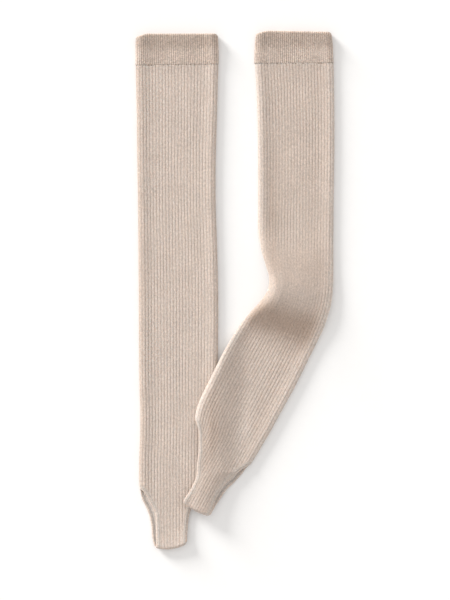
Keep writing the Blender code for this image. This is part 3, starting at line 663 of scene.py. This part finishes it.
class Opening:
    """The heel or the toe opening of a leg: its cut edge as a closed path on the sheet."""

    def __init__(self, surface, heel):
        leg = surface.leg
        self.surface, self.heel = surface, heel
        table = leg.heel_scoop if heel else leg.toe_scoop
        top = leg.heel_top if heel else leg.toe_top
        self.top_run = leg.length - top
        side = -1 if heel else 1

        def inset(down, front):
            """How far round the tube the cut is from the side, at a place down the leg."""
            section = leg_section(leg, min(down, surface.start))
            across = side * (section.half - scoop(table, min(down - self.top_run, top), front))
            share = section.share_at(across, front)
            return (share if heel else 0.5 - share) * float(surface.around(down))

        samples = int((surface.start - self.top_run) / EDGE_SAMPLE)
        downs = np.linspace(self.top_run, surface.start, samples)
        front = np.array([(down, inset(down, True)) for down in downs])
        back = np.array([(surface.run - down, inset(down, False)) for down in downs[::-1]])
        front[0, 1] = back[-1, 1] = 0.0
        path = np.vstack([front, back])
        ends = len(downs) // 3
        before = self.other_side(path[-ends:-1])
        after = self.other_side(path[1:ends])
        path = np.vstack([before, path, after])
        lengths = np.concatenate([[0.0], np.cumsum(np.hypot(*np.diff(path, axis=0).T))])
        even = np.arange(0.0, lengths[-1], EDGE_SAMPLE)
        path = np.column_stack([np.interp(even, lengths, path[:, k]) for k in (0, 1)])
        reach = int(EDGING_EASE / EDGE_SAMPLE)
        window = np.hanning(2 * reach + 3)[1:-1]
        window /= window.sum()
        smooth = np.column_stack([np.convolve(path[:, k], window, "same") for k in (0, 1)])
        smooth, even = smooth[reach:-reach], even[reach:-reach]
        self.extended = smooth
        first = int(np.argmin(abs(even - lengths[ends - 1])))
        total = lengths[ends - 1 + 2 * len(downs) - 1] - lengths[ends - 1]
        count = int(total / EDGING_STEP)
        places = even[first] + total * np.arange(count) / count
        self.path = np.column_stack([np.interp(places, even, smooth[:, k]) for k in (0, 1)])
        slope = np.gradient(smooth, axis=0)
        slope = np.column_stack([np.interp(places, even, slope[:, k]) for k in (0, 1)])
        slope /= np.linalg.norm(slope, axis=1, keepdims=True)
        self.inward = np.column_stack([-slope[:, 1], slope[:, 0]])
        self.step = total / count

    def other_side(self, path):
        """A path's places written as seen from the panel on the other side of the tube."""
        return np.column_stack([self.surface.run - path[:, 0], -path[:, 1]])

    def from_side(self, run, share):
        """How far places on the sheet are from this opening's side, round the tube."""
        return (share if self.heel else 0.5 - share) * self.surface.around(run)

    def distance(self, run, share):
        """How far into the cloth places are from the cut edge, negative in the opening."""
        found = np.full(run.shape, FAR)
        first = self.top_run - EDGE_REACH
        reach = (run > first) & (run < self.surface.run - first)
        spots = np.column_stack([run[reach], self.from_side(run[reach], share[reach])])
        edge_run, edge_in = self.extended[::2].T
        near = np.min(np.hypot(spots[:, :1] - edge_run, spots[:, 1:] - edge_in), axis=1)
        inner = self.extended[self.extended[:, 1] >= 0]
        edge = np.interp(spots[:, 0], inner[:, 0], inner[:, 1], left=-1.0, right=-1.0)
        found[reach] = np.where(spots[:, 1] < edge, -near, near)
        return found

    def share(self, run, inset):
        """The sheet's share at a distance round from this opening's side."""
        share = inset / self.surface.around(run)
        return share if self.heel else 0.5 - share


def rib_depth(share, run):
    """How deep the 2x1 rib's outer skin is, and how much of that is groove, at places."""
    knit = LEG_KNIT
    rib = knit.ribs * share
    phase = np.mod(rib + 0.5, 1.0)
    groove = ease(1 - np.minimum(phase, 1 - phase) / GROOVE_REACH)
    line = np.exp(-(((phase - 0.5) / LINE_REACH) ** 2))
    return knit.relief * groove + LINE_DEPTH * line, groove


def seam_depth(away):
    """How far the cloth goes down into the seam, this far away from it."""
    return SEAM_GROOVE * (1 - ease(away / SEAM_ROUND))


def smoothing(leg, share, run):
    """How much of the ribs is left, where the cloth is stretched smooth over the bend."""
    if not leg.smooth:
        return np.ones(run.shape)
    place, length, least = leg.smooth
    beside = ease((0.5 - share) / SMOOTH_TOE_FADE) * ease(share / SMOOTH_HEEL_FADE)
    return 1 - (1 - least) * np.exp(-(((run - place) / length) ** 4)) * beside


def leg_tone_and_painted_shading(leg, share, run):
    """How deep the yarn's tone is: the plain knit's all over, painted shade or light at the sides and
    in bands, and painted shade most at the bend.
    """
    tone = np.zeros(run.shape)
    # painted shade below the bend
    if leg.smooth:
        for place, length, most in BEND_PAINTED_SHADES:
            tone += most * np.exp(-(((run - place) / length) ** 2))
    middle = ease(np.minimum(share, 0.5 - share) / SIDE_PAINTED_SHADING_FADE)
    # painted shade at a side, or painted light where negative
    side_painted_shading = np.where(share < 0.25, leg.heel_painted_shading, leg.toe_painted_shading)
    base = LEG_BASE_TONE + leg.tone * middle + side_painted_shading * (1 - middle)
    # painted shade and painted light in bands
    for place, there, drift, width, length, most in leg.painted_bands:
        beside = share - there - drift * (run - place)
        base = base + most * np.exp(-(((run - place) / length) ** 2) - (beside / width) ** 2)
    at_heel = BEND_SHADE_HEEL_LEAST + (1 - BEND_SHADE_HEEL_LEAST) * ease(share / BEND_SHADE_HEEL_FADE)
    return base + tone * ease((0.5 - share) / BEND_SHADE_TOE_FADE) * at_heel


def rib_drift(share, run):
    """How far a rib strays sideways, in shares: slowly, and not at the sides."""
    wave = sum(much * np.sin(run / length + slant * share) for much, length, slant in DRIFT_WAVES)
    return DRIFT * wave * np.sin(2 * math.pi * share) ** 2


class Piece:
    """A mesh being made, with its knit map and its tones kept as it grows."""

    def __init__(self):
        self.mesh = bmesh.new()
        self.uv = self.mesh.loops.layers.uv.new("knit")
        self.tone = self.mesh.verts.layers.float.new("tone")
        self.run = self.mesh.verts.layers.float.new("run")
        self.share = self.mesh.verts.layers.float.new("share")

    def sheet(self, columns, rows):
        """A flat grid, with each vertex's column and row."""
        made = bmesh.ops.create_grid(self.mesh, x_segments=columns, y_segments=rows, size=0.5)
        verts = made["verts"]
        spots = np.array([vert.co[:2] for vert in verts]) + 0.5
        column = np.rint(spots[:, 0] * columns).astype(int)
        row = np.rint(spots[:, 1] * rows).astype(int)
        return verts, column, row

    def map_knit(self, verts, wales, courses):
        """Gives the faces of new vertices their places in wales and courses."""
        places = {vert: (u, v) for vert, u, v in zip(verts, wales.tolist(), courses.tolist())}
        for face in {face for vert in verts for face in vert.link_faces}:
            for loop in face.loops:
                loop[self.uv].uv = places[loop.vert]

    def place(self, verts, points, tone, run, share):
        """Puts vertices where they go, with their yarn's tone and their place on the sheet."""
        layers = ((self.tone, tone.tolist()), (self.run, run.tolist()), (self.share, share.tolist()))
        for k, (vert, point) in enumerate(zip(verts, points.tolist())):
            vert.co = point
            for layer, values in layers:
                vert[layer] = values[k]

    def merge(self, verts):
        kept = [vert for vert in verts if vert.is_valid]
        bmesh.ops.remove_doubles(self.mesh, verts=kept, dist=MERGE_DISTANCE)

    def finish(self, name, node, slot, material):
        """The mesh as an object that stands for a node."""
        bmesh.ops.recalc_face_normals(self.mesh, faces=self.mesh.faces)
        data = bpy.data.meshes.new(name)
        self.mesh.to_mesh(data)
        self.mesh.free()
        data.shade_smooth()
        data.materials.append(material)
        piece = bpy.data.objects.new(name, data)
        bpy.context.collection.objects.link(piece)
        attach(piece, "root")
        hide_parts(node)
        return piece


def leg_skin(piece, surface, openings, inside):
    """One skin of the leg's wall, cut out at its openings; returns its vertices."""
    columns = LEG_KNIT.ribs // 2 * RIB_COLUMNS
    runs = surface.rows()
    verts, column, row = piece.sheet(columns, len(runs) - 1)
    share, run = column / columns * 0.5, runs[row]
    piece.map_knit(verts, share * LEG_KNIT.ribs * LEG_KNIT.wales, run / LEG_KNIT.course)
    distance = np.min([opening.distance(run, share) for opening in openings], axis=0)
    if inside:
        tone = np.zeros(run.shape)
        spots = surface.at(run, share, surface.wall(run, share))
    else:
        depth, groove = rib_depth(share, run)
        smooth = smoothing(surface.leg, share, run)
        depth, groove = depth * smooth, groove * smooth
        fade = ease((distance - RIBS_END) / RIBS_FADE)
        depth = depth * fade + SINK * ease((RIBS_END - distance) / SINK_OVER)
        depth = depth + seam_depth(np.minimum(run, surface.run - run))
        # painted shade in the grooves, on top of the yarn's tone with its own painted light and shade
        tone = GROOVE_PAINTED_SHADE * groove * fade + leg_tone_and_painted_shading(surface.leg, share, run)
        spots = surface.at(run, share + rib_drift(share, run), depth)
    piece.place(verts, spots, tone, run, share)
    far = dict(zip(verts, distance.tolist()))
    faces = {face for vert in verts for face in vert.link_faces}
    gone = [f for f in faces if sum(far[v] for v in f.verts) / len(f.verts) < CLOTH_END]
    bmesh.ops.delete(piece.mesh, geom=gone, context="FACES")
    if inside:
        plain_end = surface.leg.length - surface.leg.heel_top - CUT_AHEAD
        down = np.minimum(run, surface.run - run)
        spare = (column % RIB_COLUMNS > 0) & (down > 0) & (down < plain_end)
        spare_column = {v: c for v, c, s in zip(verts, column.tolist(), spare.tolist()) if s}
        lines = {edge for vert in spare_column for edge in vert.link_edges}
        lines = [e for e in lines if all(v in spare_column for v in e.verts)]
        lines = [e for e in lines if len({spare_column[v] for v in e.verts}) == 1]
        bmesh.ops.dissolve_edges(piece.mesh, edges=lines, use_verts=True)
    verts = [vert for vert in verts if vert.is_valid]
    piece.merge(verts)
    return [vert for vert in verts if vert.is_valid]


def leg_edging(piece, surface, opening):
    """The knitted edging all round an opening, closed like a ring."""
    profile = np.array(EDGING_PROFILE)
    count = len(profile)
    verts, column, row = piece.sheet(count, len(opening.path))
    row = row % len(opening.path)
    inward, depth = profile[column % count].T
    spot = opening.path[row] + opening.inward[row] * inward[:, None]
    run, share = spot[:, 0], opening.share(spot[:, 0], spot[:, 1])
    piece.map_knit(verts, column * EDGING_WALE, row * opening.step / LEG_KNIT.course)
    # painted shade on the edging's deeper places, less of it outside the groove
    tone = GROOVE_PAINTED_SHADE * np.clip((depth - EDGING_SHADE_FROM) / EDGING_SHADE_OVER, 0.0, 1.0)
    tone = LEG_BASE_TONE + np.where(inward > EDGING_OUTER, tone, EDGING_SHADE_SHARE * tone)
    piece.place(verts, surface.at(run, share, depth), tone, run, share)
    piece.merge(verts)


def leg_piece(name, node, leg, held_up, creases, material):
    """The whole leg: two skins, the rim between them, and the edgings."""
    surface = LegSurface(leg, held_up, creases)
    openings = [Opening(surface, True), Opening(surface, False)]
    piece = Piece()
    outer = leg_skin(piece, surface, openings, False)
    rim = {edge for vert in outer for edge in vert.link_edges if edge.is_boundary}
    made = bmesh.ops.extrude_edge_only(piece.mesh, edges=list(rim))["geom"]
    turned = [item for item in made if isinstance(item, bmesh.types.BMVert)]
    places = np.array([(vert[piece.run], vert[piece.share]) for vert in turned])
    run, share = places.T
    spots = surface.at(run, share, surface.wall(run, share))
    for vert, spot in zip(turned, spots.tolist()):
        vert.co = spot
    inner = leg_skin(piece, surface, openings, True)
    piece.merge(turned + [v for v in inner if v.is_boundary])
    for opening in openings:
        leg_edging(piece, surface, opening)
    return piece.finish(name, node, "leg_knit", material), surface


def welt_section(welt, up):
    at = welt.lie.at(up)
    heel, toe = (at["heel_x"], at["heel_y"]), (at["toe_x"], at["toe_y"])
    higher = at["higher"] - SEAM_STEP / 2 * float(1 - ease(up / SEAM_EASE))
    return Section(WELT_KNIT, heel, toe, thicker=at["thicker"], higher=higher)


def welt_point(welt, up, turns, depth):
    """Points of a welt in metres, this far up from the seam and this deep in its cloth."""
    top = welt.lie.rows[-1][0]
    rows = [row[0] for row in welt.lie.rows]
    section = welt_section(welt, min(up, top))
    across, height = section.points(turns, depth)
    corner = np.interp(min(up, top), rows, np.linspace(0.0, 1.0, len(rows)))
    points = section.stand(across, height, corner * welt.drop(section.half, across) - max(up - top, 0))
    points[:, 2] = np.maximum(points[:, 2], 0.0)
    return points * MM + shift


def welt_piece(name, node, welt, material):
    """A welt: the outer ply, turned over the top edge and down inside as the inner ply."""
    top = welt.lie.rows[-1][0]
    half_wall = welt_section(welt, top).wall / 2
    rows = [(up, 0.0, 1.0) for up in np.linspace(-SEAM_OVERLAP, top, WELT_ROWS)]
    for angle in np.linspace(0.0, math.pi, WELT_RIM_ROWS)[1:-1]:
        up, depth = top + half_wall * math.sin(angle), half_wall * (1 - math.cos(angle))
        rows.append((up, depth, math.cos(angle)))
    for up in np.linspace(top, -SEAM_OVERLAP, WELT_ROWS // 2):
        rows.append((up, welt_section(welt, up).wall, -1.0))
    piece = Piece()
    columns = WELT_KNIT.ribs * RIB_COLUMNS
    verts, column, row = piece.sheet(columns, len(rows))
    row = row % len(rows)
    turn = (column % columns) / columns
    heights = [max(abs(b[0] - a[0]), WELT_ROW_LEAST) for a, b in zip(rows, rows[1:])]
    courses = np.cumsum([0.0, *heights])
    piece.map_knit(verts, column / RIB_COLUMNS * WELT_KNIT.wales, courses[row] / WELT_KNIT.course)
    wave = 0.5 + 0.5 * np.cos(2 * math.pi * (turn * WELT_KNIT.ribs + 0.5))
    wave = wave**WELT_GROOVE_POWER
    thinning = side_thinning(np.minimum(turn % 0.5, 0.5 - turn % 0.5))
    spots = np.zeros((len(verts), 3))
    for k, (up, depth, outward) in enumerate(rows):
        here = row == k
        own_depth = depth * thinning[here] + outward * WELT_KNIT.relief * wave[here]
        if outward > 0:
            own_depth = own_depth + seam_depth(up + SEAM_OVERLAP)
        spots[here] = welt_point(welt, up, turn[here], own_depth)
    ups = np.array([up for up, _, _ in rows])[row]
    # painted shade in the welt's grooves and along its turned top edge
    tone = WELT_GROOVE_PAINTED_SHADE * wave + WELT_TOP_PAINTED_SHADE * ease((ups - WELT_TOP_FROM) / WELT_TOP_LENGTH)
    piece.place(verts, spots, tone, courses[row], turn)
    piece.merge(verts)
    return piece.finish(name, node, "welt_knit", material)


def linking_piece(name, node, surface, welt, material):
    """The row of small stitches that links a welt to its leg, all round the tube, in a dark colour
    that is painted shade.
    """
    piece = Piece()
    stray, stray_turns = STITCH_STRAY
    spread, spread_turns = STITCH_SPREAD
    for k in range(LINKING_STITCHES):
        turn = (k + 0.5 + stray * math.sin(stray_turns * k)) / LINKING_STITCHES
        if any(k % every in sunk for every, sunk in SUNK_STITCHES):
            continue
        front = turn <= 0.5
        share = turn if front else 1 - turn
        run = np.full(2, STITCH_DOWN if front else surface.run - STITCH_DOWN)
        step = 0.5 / LINKING_STITCHES
        below = surface.at(run, np.array([share, share + step]), np.full(2, STITCH_DEPTH))
        above = welt_point(welt, STITCH_UP, np.array([turn]), STITCH_DEPTH)[0]
        middle = Vector((below[0] + above) / 2)
        along = Vector(above - below[0])
        athwart = Vector(below[1] - below[0]).normalized()
        normal = athwart.cross(along).normalized()
        wide = STITCH_WIDTH / 2 * MM * (1 + spread * math.sin(spread_turns * k))
        axes = (athwart * wide, along * STITCH_LENGTH, normal * STITCH_HEIGHT / 2 * MM)
        place = Matrix([(*axes[0], 0), (*axes[1], 0), (*axes[2], 0), (*middle, 1)]).transposed()
        bmesh.ops.create_uvsphere(
            piece.mesh, u_segments=8, v_segments=5, radius=1.0, matrix=place, calc_uvs=False
        )
    for vert in piece.mesh.verts:
        vert.co.z = max(vert.co.z, 0.0)
    return piece.finish(name, node, "leg_knit", material)


class Finish:
    """A material and its nodes, each made and linked in one call."""

    def __init__(self, name):
        self.material = bpy.data.materials.new(name)
        self.material.use_nodes = True
        self.tree = self.material.node_tree
        self.shader = self.tree.nodes["Principled BSDF"]

    def fill(self, node, inputs):
        """Sets a node's sockets, or links them where they are given another node's."""
        for key, value in inputs.items():
            if isinstance(value, bpy.types.NodeSocket):
                self.tree.links.new(value, node.inputs[key])
            else:
                node.inputs[key].default_value = value

    def add(self, kind, inputs=(), **settings):
        node = self.tree.nodes.new("ShaderNode" + kind)
        for key, value in settings.items():
            setattr(node, key, value)
        self.fill(node, dict(inputs))
        return node

    def maths(self, operation, first, second=0.0, third=0.0):
        inputs = {0: first, 1: second, 2: third}
        return self.add("Math", inputs, operation=operation).outputs[0]

    def mix(self, share, first, second, blend="MIX"):
        node = self.add("Mix", {0: share, 6: first, 7: second}, data_type="RGBA", blend_type=blend)
        return node.outputs[2]

    def noise(self, place, scale, detail=2.0):
        return self.add("TexNoise", {"Vector": place, "Scale": scale, "Detail": detail}).outputs[0]

    def stretched(self, value, least, most, low=0.3, high=0.7):
        """A value from low to high, as a noise mostly is, taken to between least and most."""
        return self.add("MapRange", {0: value, 1: low, 2: high, 3: least, 4: most}).outputs[0]

    def place(self, x, y):
        return self.add("CombineXYZ", {0: x, 1: y}).outputs[0]

    def grey(self, tone):
        return self.add("CombineColor", {0: tone, 1: tone, 2: tone}).outputs[0]

    def worn(self, inputs):
        """The material, with its shader's own sockets filled."""
        self.fill(self.shader, inputs)
        return self.material


def knit_finish(name, crest, valley_and_shade, stitch_depth, grain, mottle):
    """Soft brushed knit: stitches, painted shade in its grooves and hollows, a mixed yarn and its
    bloom.

    `grain` is how much the tone differs from stitch to stitch, and `mottle` from patch to patch.
    """
    finish = Finish(name)
    maths = finish.maths
    knit_map = finish.add("UVMap", uv_map="knit").outputs[0]
    parts = finish.add("SeparateXYZ", {0: knit_map})
    wale, course = parts.outputs[0], parts.outputs[1]
    object_place = finish.add("TexCoord").outputs["Object"]
    strands = finish.noise(object_place, STRAND_SCALE, 3.0)
    patches = finish.noise(object_place, PATCH_SCALE, 3.0)
    wander = maths("MULTIPLY_ADD", strands, 0.5, -0.25)
    beside = maths("ABSOLUTE", maths("SUBTRACT", maths("FRACT", wale), 0.5))
    climb = maths("MULTIPLY_ADD", beside, STITCH_SLANT, course)
    turn = maths("MULTIPLY", maths("ADD", climb, wander), 2 * math.pi)
    loop = maths("MULTIPLY_ADD", maths("COSINE", turn), 0.5, 0.5)
    crown = maths("SUBTRACT", 1.0, maths("MULTIPLY", maths("MULTIPLY", beside, beside), 4.0))
    height = maths("MULTIPLY", maths("MULTIPLY_ADD", loop, LOOP_HEIGHT, 1 - LOOP_HEIGHT), crown)
    height = maths("MULTIPLY_ADD", strands, STRAND_HEIGHT, height)
    lumps = finish.noise(object_place, LUMP_SCALE)
    height = maths("MULTIPLY_ADD", lumps, LUMP_HEIGHT, height)
    # the tone attribute mixes the yarn from its crest colour to its valley colour; most of that is
    # painted shade and painted light
    tone = finish.add("Attribute", attribute_name="tone").outputs["Fac"]
    colour = finish.mix(tone, crest, valley_and_shade)
    # painted shade in the stitches' hollows and painted light on their tops
    shade = finish.stretched(height, *STITCH_PAINTED_SHADES)
    shade = maths("MULTIPLY", shade, finish.stretched(patches, 1 - mottle, 1 + mottle))
    stitch = finish.place(maths("FLOOR", wale), maths("FLOOR", climb))
    one_stitch = finish.add("TexWhiteNoise", {"Vector": stitch}, noise_dimensions="2D").outputs[0]
    stitch_tone = maths("MULTIPLY_ADD", maths("SUBTRACT", one_stitch, 0.5), grain, 1.0)
    pills = finish.noise(object_place, PILL_SCALE)
    pill_tone = finish.stretched(pills, 1 - PILL_TONE, 1 + PILL_TONE)
    shade = maths("MULTIPLY", shade, maths("MULTIPLY", stitch_tone, pill_tone))
    streak_place = finish.place(wale, maths("MULTIPLY", course, STREAK_STRETCH))
    streaks = finish.noise(streak_place, STREAK_SCALE)
    streak_tone = finish.stretched(streaks, 1 - STREAK_TONE, 1 + STREAK_TONE)
    shade = maths("MULTIPLY", shade, streak_tone)
    bump = finish.add("Bump", {"Height": height, "Distance": stitch_depth, "Strength": 0.6})
    return finish.worn(
        {
            "Base Color": finish.mix(1.0, colour, finish.grey(shade), "MULTIPLY"),
            "Roughness": finish.stretched(strands, 0.86, 0.97),
            "Normal": bump.outputs[0],
            "Specular IOR Level": 0.2,
            "Sheen Weight": 0.45,
            "Sheen Roughness": 0.5,
            "Sheen Tint": (1.0, 0.94, 0.88, 1.0),
            "Subsurface Weight": 0.35,
            "Subsurface Radius": (1.0, 0.75, 0.6),
            "Subsurface Scale": 0.003,
        }
    )


def sheet_finish():
    """The white paper under the pair, with a faint grain."""
    finish = Finish("white_paper")
    place = finish.add("TexCoord").outputs["Object"]
    tone = finish.stretched(finish.noise(place, PAPER_GRAIN, 4.0), *PAPER_TONES)
    return finish.worn({"Base Color": finish.grey(tone), "Roughness": 0.95, "Specular IOR Level": 0.0})


def paper():
    mesh = bmesh.new()
    bmesh.ops.create_grid(mesh, x_segments=4, y_segments=4, size=PAPER_SIZE / 2)
    data = bpy.data.meshes.new("paper")
    mesh.to_mesh(data)
    mesh.free()
    data.materials.append(sheet_finish())
    floor = bpy.data.objects.new("paper", data)
    floor.location.z = -PAPER_GAP
    bpy.context.collection.objects.link(floor)


def camera():
    """Looks straight down, from high enough that the pair shows flat."""
    data = bpy.data.cameras.new("overhead")
    data.lens, data.sensor_width = LENS, SENSOR
    data.clip_end = 100.0
    eye = bpy.data.objects.new("overhead", data)
    eye.location = (*VIEW_CENTRE, VIEW_HEIGHT * LENS / SENSOR)
    bpy.context.collection.objects.link(eye)
    bpy.context.scene.camera = eye


def lights():
    data = bpy.data.lights.new("window", "SUN")
    data.energy, data.angle, data.color = SUN_STRENGTH, SUN_ANGLE, SUN_COLOUR
    sun = bpy.data.objects.new("window", data)
    high = math.radians(SUN_ELEVATION)
    sideways = math.cos(high) * SUN_SIDEWAYS
    towards = Vector((-sideways, sideways, math.sin(high)))
    sun.rotation_euler = towards.to_track_quat("Z", "Y").to_euler()
    bpy.context.collection.objects.link(sun)
    world = bpy.data.worlds.new("studio")
    bpy.context.scene.world = world
    world.use_nodes = True
    background = world.node_tree.nodes["Background"]
    background.inputs[0].default_value = SKY_COLOUR
    background.inputs[1].default_value = SKY_STRENGTH
    bpy.context.scene.view_settings.view_transform = "Standard"


def main():
    camera()
    lights()
    paper()
    leg_knit = knit_finish(
        "beige_rib_knit", LEG_CREST, LEG_VALLEY_AND_PAINTED_SHADE, stitch_depth=0.0006, grain=0.2, mottle=0.033
    )
    welt_knit = knit_finish(
        "beige_welt_knit", WELT_CREST, WELT_VALLEY_AND_PAINTED_SHADE, stitch_depth=0.0009, grain=0.38, mottle=0.07
    )
    linking_painted_shade = knit_finish(
        "linking_stitch_painted_shade", LINKING_PAINTED_SHADE, LINKING_PAINTED_SHADE, stitch_depth=0.0002, grain=0.18, mottle=0.033
    )
    left, left_surface = leg_piece(
        "left_leg_knit", "leg_left", LEFT, lie_flat, LEFT_CREASES, leg_knit
    )
    right, right_surface = leg_piece(
        "right_leg_knit", "leg_right", RIGHT, lie_over_left, RIGHT_CREASES, leg_knit
    )
    left_welt = welt_piece("left_welt_knit", "welt_left", LEFT_WELT, welt_knit)
    right_welt = welt_piece("right_welt_knit", "welt_right", RIGHT_WELT, welt_knit)
    linking_piece("left_linking", "welt_left", left_surface, LEFT_WELT, linking_painted_shade)
    linking_piece("right_linking", "welt_right", right_surface, RIGHT_WELT, linking_painted_shade)


leg_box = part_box("leg_left")
corner = [leg_box[1][k] - LEFT_LEG.rows[0][k + 1] * MM for k in (0, 1)]
shift = np.array((*corner, 0.0))
main()
